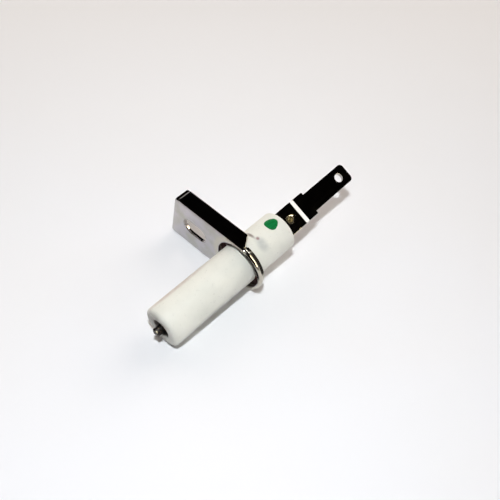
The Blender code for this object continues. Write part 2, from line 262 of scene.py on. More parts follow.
def turned(profile, steps):
    """Turn a profile of (x, radius) points about the axis. A zero radius closes an end."""
    made = bmesh.new()
    rings = []
    for along, radius in profile:
        if radius <= 0.0:
            rings.append([made.verts.new((along, 0.0, 0.0))])
            continue
        turns = [math.tau * i / steps for i in range(steps)]
        rings.append([made.verts.new((along, radius * math.cos(t), radius * math.sin(t))) for t in turns])
    pairs = list(zip(rings, rings[1:]))
    if len(rings[0]) > 1 and len(rings[-1]) > 1:
        pairs.append((rings[-1], rings[0]))
    for first, second in pairs:
        for i in range(steps):
            j = (i + 1) % steps
            corners = [first[i % len(first)], first[j % len(first)],
                       second[j % len(second)], second[i % len(second)]]
            made.faces.new(list(dict.fromkeys(corners)))
    bmesh.ops.recalc_face_normals(made, faces=made.faces)
    return made


def blank(outline, holes, thickness, edge_round, edge_steps=3):
    """A flat sheet with rounded edges, from its outline and holes. Its own Z is its thickness."""
    curve = bpy.data.curves.new("blank", "CURVE")
    curve.dimensions = "2D"
    curve.fill_mode = "BOTH"
    curve.extrude = thickness / 2.0 - edge_round
    curve.bevel_depth = edge_round
    curve.bevel_resolution = edge_steps
    curve.offset = -edge_round
    for loop in (outline, *holes):
        spline = curve.splines.new("POLY")
        spline.points.add(len(loop) - 1)
        for point, (across, up) in zip(spline.points, loop):
            point.co = (across, up, 0.0, 1.0)
        spline.use_cyclic_u = True
    guide = bpy.data.objects.new("blank", curve)
    bpy.context.scene.collection.objects.link(guide)
    flat = bpy.data.meshes.new_from_object(guide.evaluated_get(bpy.context.evaluated_depsgraph_get()))
    made = bmesh.new()
    made.from_mesh(flat)
    bpy.data.objects.remove(guide, do_unlink=True)
    bpy.data.meshes.remove(flat)
    bmesh.ops.remove_doubles(made, verts=made.verts, dist=MERGE_DISTANCE)
    bmesh.ops.recalc_face_normals(made, faces=made.faces)
    return made


def reshape_edge(made, side, half_length, centre, radius, bevel, wanted, from_inside):
    """Make an edge rounder or sharper along a circle, or along a slot with round ends.

    The side is -1 for the sheet's front and 1 for its back. The slot's straight part is
    half_length to each side of its centre. The bevel is the edge's present rounding, and wanted
    gives the new one for a direction from the centre.
    """
    limit = bevel + EDGE_TOLERANCE
    for vert in made.verts:
        depth = SHEET / 2.0 - side * vert.co.z
        nearest = Vector((centre[0] + min(max(vert.co.x - centre[0], -half_length), half_length),
                          centre[1]))
        away = vert.co.xy - nearest
        inset = radius - away.length if from_inside else away.length - radius
        if not (-EDGE_TOLERANCE <= inset <= limit and depth <= limit):
            continue
        factor = wanted(math.atan2(away.y, away.x)) / bevel
        reach = radius - inset * factor if from_inside else radius + inset * factor
        moved = nearest + away.normalized() * reach
        vert.co = (moved.x, moved.y, side * (SHEET / 2.0 - depth * factor))


def reshape_straight_edge(made, start, end, bevel, wanted):
    """Give the front edge of a straight side the wanted rounding, easing in at the side's ends."""
    start, end = Vector(start), Vector(end)
    run = (end - start).normalized()
    inward = Vector((-run.y, run.x))
    length = (end - start).length
    limit = bevel + EDGE_TOLERANCE
    for vert in made.verts:
        offset = vert.co.xy - start
        along, inset, depth = offset.dot(run), offset.dot(inward), vert.co.z - FRONT_SIDE
        if not (0.0 < along < length and -EDGE_TOLERANCE <= inset <= limit and depth <= limit):
            continue
        ease = min(1.0, along / EDGE_EASE_LENGTH, (length - along) / EDGE_EASE_LENGTH)
        factor = 1.0 + (wanted / bevel - 1.0) * ease
        moved = vert.co.xy + inward * inset * (factor - 1.0)
        vert.co = (moved.x, moved.y, FRONT_SIDE + depth * factor)


def cut_across(made, axis, places):
    """Cut a sheet's faces along lines, so that it can bend there."""
    for at in places:
        normal = [0.0, 0.0, 0.0]
        normal[axis] = 1.0
        point = [0.0, 0.0, 0.0]
        point[axis] = at
        everything = made.verts[:] + made.edges[:] + made.faces[:]
        bmesh.ops.bisect_plane(made, geom=everything, plane_co=point, plane_no=normal,
                               dist=MERGE_DISTANCE / 10.0)


def spread(start, end, count):
    """Evenly spaced values from start to end."""
    return [start + (end - start) * i / count for i in range(count + 1)]


def between(start, end, count):
    """Points that divide a straight side of an outline, without its ends."""
    shares = spread(0.0, 1.0, count)[1:-1]
    return [tuple(Vector(start).lerp(Vector(end), share)) for share in shares]


def finish_piece(name, made, material, node):
    """Turn a bmesh in millimetres into a shown piece that stands for one CAD node."""
    to_world = Matrix.Translation((0.0, AXIS_Y, 0.0)) @ Matrix.Scale(MM, 4)
    bmesh.ops.transform(made, matrix=to_world, verts=made.verts)
    mesh = bpy.data.meshes.new(name)
    made.to_mesh(mesh)
    made.free()
    mesh.shade_smooth()
    mesh.set_sharp_from_angle(angle=SHARP_ANGLE)
    mesh.materials.append(material)
    piece = bpy.data.objects.new(name, mesh)
    bpy.context.scene.collection.objects.link(piece)
    normals = piece.modifiers.new("flat_faces_stay_flat", "WEIGHTED_NORMAL")
    normals.weight = 100
    normals.keep_sharp = True
    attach(piece, "root")
    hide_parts(node)
    return piece


# ---------------------------------------------------------------- material helpers

def add_node(tree, kind, inputs=None, **settings):
    """Add a node, set its properties, and set or link its inputs."""
    node = tree.nodes.new(kind)
    for key, value in settings.items():
        setattr(node, key, value)
    for key, value in (inputs or {}).items():
        if isinstance(value, bpy.types.NodeSocket):
            tree.links.new(value, node.inputs[key])
        else:
            node.inputs[key].default_value = value
    return node


def new_material(name, metallic=0.0, **sockets):
    """A material with its Principled shader, and the shader's constant sockets set."""
    material = bpy.data.materials.new(name)
    material.use_nodes = True
    shader = material.node_tree.nodes["Principled BSDF"]
    shader.inputs["Metallic"].default_value = metallic
    for key, value in sockets.items():
        shader.inputs[key.replace("_", " ")].default_value = value
    return material, material.node_tree, shader


def millimetres(tree, stretch=(1.0, 1.0, 1.0)):
    """Object coordinates in millimetres, stretched along the axes."""
    place = add_node(tree, "ShaderNodeTexCoord").outputs["Object"]
    scale = [s / MM for s in stretch]
    return add_node(tree, "ShaderNodeMapping", {"Vector": place, "Scale": scale}).outputs["Vector"]


def mark_distance(tree, centre, size=(1.0, 1.0, 1.0)):
    """Distance from a mark's centre, counted in the mark's sizes. Marks are placed about the axis."""
    place = millimetres(tree, [1.0 / s for s in size])
    middle = [(c + o) / s for c, o, s in zip(centre, (0.0, AXIS_Y / MM, 0.0), size)]
    node = add_node(tree, "ShaderNodeVectorMath", {0: place, 1: middle}, operation="DISTANCE")
    return node.outputs["Value"]


def coordinates(tree, vector):
    """A vector's three values, by the names X, Y and Z."""
    return add_node(tree, "ShaderNodeSeparateXYZ", {"Vector": vector}).outputs


def calculate(tree, operation, *values):
    """The result of a maths node on values or sockets."""
    return add_node(tree, "ShaderNodeMath", dict(enumerate(values)), operation=operation).outputs[0]


def noise_value(tree, vector, scale, detail=3.0, roughness=0.5):
    """A noise texture's value, with its scale in cycles per unit of the vector."""
    inputs = {"Vector": vector, "Scale": scale, "Detail": detail, "Roughness": roughness}
    return add_node(tree, "ShaderNodeTexNoise", inputs).outputs["Fac"]


def remap(tree, value, low, high, new_low=0.0, new_high=1.0):
    """Map a value from one range to another, clamped and with a smooth step."""
    inputs = {"Value": value, "From Min": low, "From Max": high, "To Min": new_low, "To Max": new_high}
    node = add_node(tree, "ShaderNodeMapRange", inputs, interpolation_type="SMOOTHSTEP")
    return node.outputs["Result"]


def blend_colour(tree, factor, first, second):
    """Mix two colours, each a colour or a socket, by a factor."""
    node = add_node(tree, "ShaderNodeMix", data_type="RGBA")
    for index, value in ((0, factor), (6, first), (7, second)):
        if isinstance(value, bpy.types.NodeSocket):
            tree.links.new(value, node.inputs[index])
        elif index:
            node.inputs[index].default_value = (*value, 1.0)
        else:
            node.inputs[index].default_value = value
    return node.outputs[2]


def add_bump(tree, shader, height, depth_mm):
    """Let a height between 0 and 1 raise the surface by up to depth_mm."""
    inputs = {"Height": height, "Distance": depth_mm * MM, "Strength": 1.0}
    bump = add_node(tree, "ShaderNodeBump", inputs)
    tree.links.new(bump.outputs["Normal"], shader.inputs["Normal"])


def connect(tree, shader, colour, roughness=None):
    """Link a shader's colour, and its roughness where that varies."""
    tree.links.new(colour, shader.inputs["Base Color"])
    if roughness is not None:
        tree.links.new(roughness, shader.inputs["Roughness"])


# ---------------------------------------------------------------- materials

def axis_distance(tree):
    """Distance from the ceramic's axis in millimetres, and the angle around it."""
    place = add_node(tree, "ShaderNodeTexCoord").outputs["Object"]
    moved = add_node(tree, "ShaderNodeVectorMath", {0: place, 1: (0.0, AXIS_Y, 0.0)}, operation="SUBTRACT")
    flat = add_node(tree, "ShaderNodeVectorMath", {0: moved.outputs[0], 1: (0.0, 1.0 / MM, 1.0 / MM)},
                    operation="MULTIPLY")
    reach = add_node(tree, "ShaderNodeVectorMath", {0: flat.outputs[0]}, operation="LENGTH")
    parts = coordinates(tree, flat.outputs[0])
    return reach.outputs["Value"], calculate(tree, "ARCTAN2", parts["Z"], parts["Y"])


def ring_tarnish_and_shade(tree, colour):
    """Add tarnish on the ring, painted shade in the gap round the ceramic, and a painted dark band
    beside the flange that stands in for a dark reflection.

    The painted shade is a little lighter over the clip ring's teeth than between them. Returns the
    colour, and how much painted shade and painted band there is.
    """
    reach, turn = axis_distance(tree)
    edge = RING_HOLE_RADIUS
    tarnish = calculate(tree, "MULTIPLY", remap(tree, reach, edge + 0.05, edge + 0.20, 0.0, 0.8),
                        remap(tree, reach, edge + 0.55, edge + 1.20, 1.0, 0.0))
    colour = blend_colour(tree, tarnish, colour, TARNISH_COLOUR)
    wave = calculate(tree, "MULTIPLY_ADD", turn, TOOTH_COUNT, -TOOTH_COUNT * TOOTH_FIRST_ANGLE)
    strength = remap(tree, calculate(tree, "COSINE", wave), 0.25, 0.55, 0.96, 0.88)
    # Painted shade in the gap round the ceramic, a little lighter over the clip ring's teeth
    in_gap = remap(tree, reach, edge - 0.02, edge + 0.05, 1.0, 0.0)
    gap_shade = calculate(tree, "MULTIPLY", in_gap, strength)
    colour = blend_colour(tree, gap_shade, colour, GAP_SHADE_COLOUR)
    # Painted dark band on the ring's front face beside the flange, standing in for a dark reflection
    near = remap(tree, mark_distance(tree, RING_DARK_BAND_CENTRE, RING_DARK_BAND_SIZE), 0.7, 1.0, 0.97, 0.0)
    inside = remap(tree, reach, RING_DARK_BAND_END_RADIUS - 0.05, RING_DARK_BAND_END_RADIUS + 0.08, 1.0, 0.0)
    painted_dark = calculate(tree, "MULTIPLY", near, inside)
    return blend_colour(tree, painted_dark, colour, RING_DARK_BAND_COLOUR), calculate(tree, "MAXIMUM", gap_shade, painted_dark)


def flux_stain(tree, colour):
    """Stain a colour round the braze, over the edge of its hole. Also returns how much stain."""
    along, _, upward = terminal_axes()
    near = mark_distance(tree, along * WELD_X + upward * BASE_HEIGHT)
    ragged = calculate(tree, "MULTIPLY_ADD", noise_value(tree, millimetres(tree), 1.6), -0.5, near)
    stain = remap(tree, ragged, 0.26, 0.44, 0.95, 0.0)
    return blend_colour(tree, stain, colour, FLUX_STAIN_COLOUR), stain


def plated_steel(name, tint, shade, smooth_roughness, rough_roughness, grain, relief, add_stains_and_shade):
    """Bright plating with cloudy reflections, lines stretched by grain, and a relief in millimetres.

    The function passed in takes the tree and the clean colour, and adds stains, and on the ring also
    painted shade.
    """
    material, tree, shader = new_material(name, metallic=1.0)
    place = millimetres(tree)
    lines = noise_value(tree, millimetres(tree, grain), 1.0, detail=4.0, roughness=0.6)
    clouds = noise_value(tree, place, 0.55)
    fine = noise_value(tree, place, 14.0, detail=2.0)
    colour = blend_colour(tree, remap(tree, clouds, 0.35, 0.7), tint, shade)
    worn = calculate(tree, "MULTIPLY_ADD", lines, 0.6, clouds)
    roughness = remap(tree, worn, 0.55, 1.05, smooth_roughness, rough_roughness)
    colour, stain_and_shade = add_stains_and_shade(tree, colour)
    connect(tree, shader, colour, calculate(tree, "MULTIPLY_ADD", stain_and_shade, STAIN_AND_SHADE_ROUGHNESS, roughness))
    add_bump(tree, shader, calculate(tree, "MULTIPLY_ADD", fine, 0.35, lines), relief)
    return material


def ceramic_finish():
    """Off-white ceramic: mottling and specks, painted shade in the recesses, rub marks and a speck, and
    painted shade and shadow on its rims and flanks.
    """
    material, tree, shader = new_material("glazed_ceramic", IOR=1.5)
    place = millimetres(tree)
    mottle = noise_value(tree, place, 0.35, detail=4.0)
    colour = blend_colour(tree, remap(tree, mottle, 0.3, 0.7), (0.815, 0.805, 0.725), (0.75, 0.745, 0.67))
    specks = remap(tree, noise_value(tree, place, 2.6, detail=2.0, roughness=0.7), 0.61, 0.76, 0.0, 0.45)
    colour = blend_colour(tree, specks, colour, (0.55, 0.53, 0.48))
    reach, _ = axis_distance(tree)
    # Painted shade inside the recesses and the bore, lighter towards the +Y side where the spark recess's
    # wall is lit
    painted_dark = remap(tree, reach, SPARK_RECESS_RADIUS - 0.06, SPARK_RECESS_RADIUS + 0.12, 0.97, 0.0)
    recess_lit_side = remap(tree, coordinates(tree, place)["Y"], AXIS_Y / MM + 0.35, AXIS_Y / MM + 0.95)
    recess_shade_colour = blend_colour(tree, recess_lit_side, (0.014, 0.009, 0.008), (0.13, 0.09, 0.085))
    colour = blend_colour(tree, painted_dark, colour, recess_shade_colour)
    patches = remap(tree, noise_value(tree, place, 1.1), 0.3, 0.6, 0.65, 1.0)
    for centre, size, tint in CERAMIC_MARKS_AND_SHADE:
        mark = remap(tree, mark_distance(tree, centre, size), 0.25, 1.0, 0.85, 0.0)
        colour = blend_colour(tree, calculate(tree, "MULTIPLY", mark, patches), colour, tint)
    connect(tree, shader, colour, remap(tree, mottle, 0.3, 0.7, 0.42, 0.58))
    add_bump(tree, shader, noise_value(tree, place, 9.0, roughness=0.6), 0.006)
    return material


def oxidised_steel():
    """Rod steel darkened by heat, with rubbed places and one bright chip."""
    material, tree, shader = new_material("oxidised_rod_steel", metallic=1.0)
    patches = noise_value(tree, millimetres(tree), 2.4, detail=4.0, roughness=0.65)
    colour = blend_colour(tree, remap(tree, patches, 0.56, 0.70), (0.035, 0.03, 0.028), (0.42, 0.34, 0.24))
    chip = remap(tree, mark_distance(tree, BRIGHT_CHIP_CENTRE), 0.12, 0.22, 1.0, 0.0)
    colour = blend_colour(tree, chip, colour, (0.85, 0.76, 0.52))
    connect(tree, shader, colour, remap(tree, patches, 0.35, 0.7, 0.5, 0.25))
    add_bump(tree, shader, patches, 0.03)
    return material


def dark_cement():
    """Grainy dark cement."""
    material, tree, shader = new_material("dark_cement", Roughness=0.9)
    grain = noise_value(tree, millimetres(tree), 5.0, detail=4.0, roughness=0.7)
    mottle = remap(tree, grain, 0.4, 0.7)
    connect(tree, shader, blend_colour(tree, mottle, (0.012, 0.008, 0.007), (0.05, 0.035, 0.03)))
    add_bump(tree, shader, grain, 0.06)
    return material


def brass_braze():
    """Dull yellow braze with dark patches."""
    material, tree, shader = new_material("braze_metal", metallic=1.0)
    patches = noise_value(tree, millimetres(tree), 3.0)
    colour = blend_colour(tree, remap(tree, patches, 0.4, 0.65), (0.07, 0.05, 0.02), (0.40, 0.33, 0.17))
    connect(tree, shader, colour, remap(tree, patches, 0.35, 0.65, 0.8, 0.6))
    add_bump(tree, shader, patches, 0.03)
    return material


def green_paint():
    """Brushed-on green paint."""
    material, tree, shader = new_material("green_marking_paint", IOR=1.30)
    strokes = noise_value(tree, millimetres(tree, (1.0, 3.0, 3.0)), 1.2)
    colour = blend_colour(tree, remap(tree, strokes, 0.35, 0.65), (0.0, 0.14, 0.03), (0.0, 0.20, 0.045))
    connect(tree, shader, colour, remap(tree, strokes, 0.3, 0.7, 0.35, 0.5))
    add_bump(tree, shader, noise_value(tree, millimetres(tree), 4.0), 0.01)
    return material


# ---------------------------------------------------------------- pieces

def make_ceramic(material):
    """Ceramic bar: round rims, lips on both recesses, and the clip ring's groove."""
    front, back = SPARK_END_X, TERMINAL_END_X
    groove_front = SHEET - GROOVE_CLEARANCE
    groove_back = clip_high.x + GROOVE_CLEARANCE
    rim = CERAMIC_RADIUS - SPARK_RIM_ROUND
    rear_rim = CERAMIC_RADIUS - TERMINAL_RIM_ROUND
    lip = RECESS_LIP_ROUND
    edge = GROOVE_EDGE_ROUND
    profile = arc((front + lip, SPARK_RECESS_RADIUS + lip), lip, -QUARTER, -2 * QUARTER, 6)
    profile += arc((front + SPARK_RIM_ROUND, rim), SPARK_RIM_ROUND, 2 * QUARTER, QUARTER, 14)
    # Extra rings along both straight parts keep their faces short
    profile += [(x, CERAMIC_RADIUS) for x in spread(front + 1.5, groove_front - 0.1, 12)]
    profile += arc((groove_front - edge, CERAMIC_RADIUS - edge), edge, QUARTER, 0.0, 4)
    profile += [(groove_front, GROOVE_RADIUS), (groove_back, GROOVE_RADIUS)]
    profile += arc((groove_back + edge, CERAMIC_RADIUS - edge), edge, 2 * QUARTER, QUARTER, 4)
    profile += [(x, CERAMIC_RADIUS) for x in spread(groove_back + 0.3, back - 0.6, 6)]
    profile += arc((back - TERMINAL_RIM_ROUND, rear_rim), TERMINAL_RIM_ROUND, QUARTER, 0.0, 12)
    profile += arc((back - lip, TERMINAL_RECESS_RADIUS + lip), lip, 0.0, -QUARTER, 6)
    floor_back = rear_plug_low.x - CEMENT_GAP
    floor_front = front_plug_high.x + CEMENT_GAP
    profile += [(floor_back, TERMINAL_RECESS_RADIUS), (floor_back, BORE_RADIUS)]
    profile += [(floor_front, BORE_RADIUS), (floor_front, SPARK_RECESS_RADIUS)]
    made = turned(profile, 128)
    return finish_piece("ceramic_body", made, material, "ceramic_insulator")


def make_rod(material):
    """Electrode rod with a roughly cropped spark tip."""
    tip, tail, radius, end = ROD_TIP_X, ROD_TAIL_X, ROD_RADIUS, ROD_END_ROUND
    profile = [(tip, 0.0)] + [(tip, radius * s) for s in (0.25, 0.5, 0.7)]
    profile += arc((tip + end, radius - end), end, 2 * QUARTER, QUARTER, 6)
    profile += [(x, radius) for x in spread(tip + 0.2, tip + 1.6, 14)]
    profile += arc((tail - end, radius - end), end, QUARTER, 0.0, 5) + [(tail, 0.0)]
    made = turned(profile, 48)
    for vert in made.verts:
        near_tip = max(0.0, 1.0 - (vert.co.x - tip) / ROD_ROUGH_LENGTH)
        rough = noise.noise(vert.co * 2.2) + 0.5 * noise.noise(vert.co * 5.0)
        share = 1.0 - ROD_CROP_SHARE * near_tip * max(0.0, rough + 0.4)
        vert.co.y *= share
        vert.co.z *= share
        vert.co.x += ROD_CROP_PULL * near_tip ** 3 * max(0.0, noise.noise(vert.co * 3.0) + 0.3)
    return finish_piece("rod", made, material, "electrode_rod")


def make_cement(name, node, low, high, mouth_is_low, material):
    """A cement plug, hollow at its mouth where it creeps up the wall and the rod."""
    outer, inner = high.z, ROD_RADIUS + CEMENT_GAP
    mouth, floor = (low.x, high.x) if mouth_is_low else (high.x, low.x)
    into = 1.0 if mouth_is_low else -1.0
    steps = 10
    profile = [(floor, inner), (floor, outer)]
    for i in range(steps + 1):
        share = i / steps
        sag = CEMENT_SAG * math.sin(math.pi * share)
        profile.append((mouth + into * sag, outer + (inner - outer) * share))
    made = turned(profile, 64)
    for vert in made.verts:
        if abs(vert.co.x - floor) > 0.3:
            vert.co.x += into * CEMENT_LUMPS * max(0.0, noise.noise(vert.co * 2.5) + 0.4)
    return finish_piece(name, made, material, node)


def ring_edge_round(turn):
    """Rounding of the ring's outer front edge: full where the ring stands clear of the arm."""
    past_flange = (turn % math.tau - RING_ROUND_START) / RING_ROUND_START_RUN
    before_arm = (RING_ROUND_END - turn % math.tau) / RING_ROUND_END_RUN
    share = clamp(min(past_flange, before_arm))
    return EDGE_ROUND + (RING_EDGE_ROUND - EDGE_ROUND) * smooth(share)


def make_bracket(material):
    """Bracket: a flat blank with ring, slot and flange, folded back along its top."""
    outer_bend = BEND_INNER_RADIUS + SHEET
    bend_start = RING_RADIUS - outer_bend
    bend_length = QUARTER * (outer_bend - SHEET / 2.0)
    flange_end = bend_start + bend_length + FLANGE_DEPTH - outer_bend

    end_bottom = (ARM_END_Y, -RING_RADIUS)
    slope = (ARM_END_Y - ARM_END_TOP_Y) / (2.0 * RING_RADIUS)
    bend_corner = (ARM_END_TOP_Y + slope * outer_bend, bend_start)
    fold_corner = (ARM_END_TOP_Y, bend_start + bend_length)
    flange_left = (ARM_END_TOP_Y, flange_end)
    flange_right = (FLANGE_START_BACK_Y, flange_end)
    flange_foot = (FLANGE_START_FRONT_Y, bend_start + bend_length)
    outline = rounded(end_bottom, (0.0, -RING_RADIUS), bend_corner, ARM_CORNER_ROUND)
    outline += [bend_corner, fold_corner]
    outline += rounded(flange_left, fold_corner, flange_right, FLANGE_CORNER_ROUND)
    outline += between(outline[-1], (flange_right[0] + FLANGE_CORNER_ROUND, flange_end), 20)
    outline += rounded(flange_right, flange_left, flange_foot, FLANGE_CORNER_ROUND)
    outline += between(outline[-1], flange_foot, 10)
    outline += [flange_foot, (FLANGE_START_FRONT_Y, bend_start)]
    relief_y = FLANGE_START_FRONT_Y - BEND_RELIEF
    outline += [(relief_y, bend_start)]
    ring_start = math.acos(relief_y / RING_RADIUS)
    outline += arc((0.0, 0.0), RING_RADIUS, ring_start, 3 * QUARTER, 72)

    slot_end = SLOT_HEIGHT / 2.0
    half = SLOT_LENGTH / 2.0 - slot_end
    slot = arc((SLOT_CENTRE_Y + half, 0.0), slot_end, -QUARTER, QUARTER, 24)
    slot += arc((SLOT_CENTRE_Y - half, 0.0), slot_end, QUARTER, 3 * QUARTER, 24)
    ring_hole = arc((0.0, 0.0), RING_HOLE_RADIUS, 0.0, math.tau * 95 / 96, 96)

    made = blank(outline, [slot, ring_hole], SHEET, EDGE_ROUND, edge_steps=5)
    for side in (-1, 1):
        reshape_edge(made, side, half, (SLOT_CENTRE_Y, 0.0), slot_end, EDGE_ROUND,
                     lambda turn: HOLE_EDGE_ROUND, from_inside=False)
    reshape_edge(made, -1, 0.0, (0.0, 0.0), RING_HOLE_RADIUS, EDGE_ROUND,
                 lambda turn: HOLE_EDGE_ROUND, from_inside=False)
    reshape_edge(made, -1, 0.0, (0.0, 0.0), RING_RADIUS, EDGE_ROUND, ring_edge_round, from_inside=True)
    reshape_straight_edge(made, flange_left, flange_right, EDGE_ROUND, FLANGE_BACK_ROUND)
    round_end = Vector(flange_right).lerp(Vector(flange_foot), FLANGE_END_ROUND_SHARE)
    reshape_straight_edge(made, flange_right, round_end, EDGE_ROUND, FLANGE_END_ROUND)
    cut_across(made, 1, spread(bend_start, bend_start + bend_length, 12))
    dip_start = ARM_END_TOP_Y - END_DIP_SETBACK
    cut_across(made, 0, spread(dip_start - END_DIP_RUN, dip_start, 8))
    for vert in made.verts:
        along, up, depth = vert.co.x, vert.co.y, vert.co.z + SHEET / 2.0
        bent = up - bend_start
        if bent <= 0.0 or along < relief_y + BEND_RELIEF / 2.0:
            vert.co = (depth, along, up)
            continue
        angle = min(bent / bend_length, 1.0) * QUARTER
        reach = outer_bend - depth
        straight = max(0.0, bent - bend_length)
        share = clamp((along - dip_start) / END_DIP_RUN + 1.0) * angle / QUARTER
        vert.co = (outer_bend - reach * math.cos(angle) + straight, along,
                   bend_start + reach * math.sin(angle) - END_DIP * smooth(share))
    bmesh.ops.recalc_face_normals(made, faces=made.faces)
    return finish_piece("bracket", made, material, "mounting_bracket")


def make_clip(material):
    """Toothed ring behind the bracket's ring, stepped to clear the flange."""
    thickness = clip_high.x - clip_low.x
    pitch = math.tau / TOOTH_COUNT
    inner = []
    for tooth in range(TOOTH_COUNT):
        centre = TOOTH_FIRST_ANGLE + tooth * pitch
        left = centre + TOOTH_WIDTH_ANGLE / 2.0
        next_right = centre + pitch - TOOTH_WIDTH_ANGLE / 2.0
        inner += arc((0.0, 0.0), CLIP_TOOTH_RADIUS, centre - TOOTH_WIDTH_ANGLE / 2.0, left, 5)
        inner += arc((0.0, 0.0), CLIP_WEB_RADIUS, left, next_right, 12)
    step_y = FLANGE_START_FRONT_Y - CLIP_FLANGE_GAP
    step_z = RING_RADIUS - SHEET - CLIP_FLANGE_GAP
    right_end = math.asin(step_z / CLIP_RADIUS)
    left_end = math.acos(step_y / CLIP_RADIUS) - math.tau
    outer = arc((0.0, 0.0), CLIP_RADIUS, right_end, left_end, 120)
    outer.append((step_y, step_z))
    made = blank(outer, [inner], thickness, CLIP_EDGE_ROUND, edge_steps=5)
    middle = (clip_low.x + clip_high.x) / 2.0
    for vert in made.verts:
        vert.co = (middle + vert.co.z, vert.co.x, vert.co.y)
    bmesh.ops.recalc_face_normals(made, faces=made.faces)
    return finish_piece("clip", made, material, "clip_ring")


def terminal_height(along):
    """Height and slope of the terminal's middle surface at one place along it."""
    run = JOGGLE_END_X - JOGGLE_START_X
    share = clamp((along - JOGGLE_START_X) / run)
    ease = JOGGLE_EASE
    level = 1.0 / (1.0 - ease)
    if share < ease:
        fall, rate = level * share * share / (2.0 * ease), level * share / ease
    elif share > 1.0 - ease:
        rest = 1.0 - share
        fall, rate = 1.0 - level * rest * rest / (2.0 * ease), level * rest / ease
    else:
        fall, rate = level * (share - ease / 2.0), level
    drop = BASE_HEIGHT - TAB_HEIGHT
    return BASE_HEIGHT - drop * fall, -drop * rate / run


def terminal_axes():
    """Directions along, across and up from the terminal, rolled and turned a little in its plane."""
    across = Vector((0.0, math.cos(TERMINAL_ROLL), math.sin(TERMINAL_ROLL)))
    upward = Vector((0.0, -math.sin(TERMINAL_ROLL), math.cos(TERMINAL_ROLL)))
    along = Vector((1.0, 0.0, 0.0)) * math.cos(TERMINAL_YAW) + across * math.sin(TERMINAL_YAW)
    return along, upward.cross(along), upward


def make_terminal(material):
    """Spade terminal: a flat blank, joggled down, then rolled about the ceramic's axis."""
    wide, narrow = BASE_HALF_WIDTH, TAB_HALF_WIDTH
    corner = (SHOULDER_X, wide)
    side = [(BASE_START_X, wide)]
    side += rounded(corner, (BASE_START_X, wide), (SHOULDER_X, narrow), SHOULDER_CORNER_ROUND, 4)
    side += [(SHOULDER_X, narrow)]
    side += rounded((TAB_END_X, narrow), (SHOULDER_X, narrow), (TAB_END_X, 0.0), TAB_CORNER_ROUND, 10)
    outline = side + [(x, -y) for x, y in reversed(side)]
    tab_hole = arc((TAB_HOLE_X, 0.0), TAB_HOLE_RADIUS, 0.0, math.tau * 47 / 48, 48)
    weld_hole = arc((WELD_X, 0.0), WELD_HOLE_RADIUS, 0.0, math.tau * 31 / 32, 32)
    made = blank(outline, [tab_hole, weld_hole], SHEET, TERMINAL_EDGE_ROUND)
    cut_across(made, 0, spread(JOGGLE_START_X, JOGGLE_END_X, 24))
    along, across, upward = terminal_axes()
    for vert in made.verts:
        height, slope = terminal_height(vert.co.x)
        normal = (upward - along * slope).normalized()
        middle = along * vert.co.x + across * vert.co.y + upward * height
        vert.co = middle + normal * vert.co.z
    bmesh.ops.recalc_face_normals(made, faces=made.faces)
    return finish_piece("terminal", made, material, "spade_terminal")


def make_weld(material):
    """Braze that fills the terminal's hole and stands a little proud of it."""
    foot = BASE_HEIGHT - WELD_DEPTH
    top = BASE_HEIGHT + SHEET / 2.0
    radius = WELD_HOLE_RADIUS - WELD_SIDE_GAP
    profile = [(foot, 0.0), (foot, radius), (top - 0.06, radius), (top, radius)]
    profile += [(top + WELD_CROWN_RISE * math.sin(a), radius * math.cos(a))
                for a in spread(0.0, QUARTER * 0.92, 8)[1:]] + [(top + WELD_CROWN_RISE, 0.0)]
    made = turned(profile, 32)
    along, across, upward = terminal_axes()
    for vert in made.verts:
        rise, side, forward = vert.co
        lobes = math.cos(WELD_LOBES * math.atan2(side, forward))
        lift = WELD_LOBE_RISE * lobes + WELD_LUMPS * noise.noise(vert.co * 3.5)
        rise += lift * min(1.0, (rise - foot) / (top - foot))
        if rise > top - 0.05:
            share = WELD_CROWN_SHARE - WELD_LOBE_SHARE * lobes
            side, forward = side * share, forward * share
        vert.co = along * (WELD_X + forward) + across * side + upward * rise
    bmesh.ops.recalc_face_normals(made, faces=made.faces)
    return finish_piece("braze", made, material, "terminal_weld")


def make_dot(material):
    """Paint dot: a rounded three-cornered film that thins out to its edge."""
    centre_x = (dot_low.x + dot_high.x) / 2.0
    length = dot_high.x - dot_low.x
    thickness = dot_high.z - CERAMIC_RADIUS
    rings, steps = 8, 72
    made = bmesh.new()
    skins = []
    for top in (True, False):
        rows = []
        for ring in range(rings + 1):
            share = math.sin(QUARTER * ring / rings)
            lift = thickness * (1.0 - share ** 4) if top else 0.0
            row = []
            for i in range(steps if ring else 1):
                a = math.tau * i / steps
                shape = 1.0 + DOT_CORNER_SHARE * math.cos(DOT_CORNERS * a) + DOT_LEAN_SHARE * math.cos(a)
                ragged = noise.noise(Vector((math.cos(a), math.sin(a), 0.0)) * 2.5)
                reach = 0.5 * length * shape * share * (1.0 + DOT_RAGGED_SHARE * ragged)
                turn = reach * math.sin(a) / CERAMIC_RADIUS
                radius = CERAMIC_RADIUS + DOT_GAP + lift
                row.append(made.verts.new((centre_x + reach * math.cos(a), radius * math.sin(turn),
                                           radius * math.cos(turn))))
            rows.append(row)
        skins.append(rows)
    skins[1][-1] = skins[0][-1]
    for rows in skins:
        for first, second in zip(rows, rows[1:]):
            for i in range(steps):
                j = (i + 1) % steps
                corners = [first[i % len(first)], first[j % len(first)], second[j], second[i]]
                made.faces.new(list(dict.fromkeys(corners)))
    loose = [v for v in made.verts if not v.link_faces]
    bmesh.ops.delete(made, geom=loose, context="VERTS")
    bmesh.ops.recalc_face_normals(made, faces=made.faces)
    return finish_piece("paint_dot", made, material, "identification_dot")


# ---------------------------------------------------------------- stage, camera and light

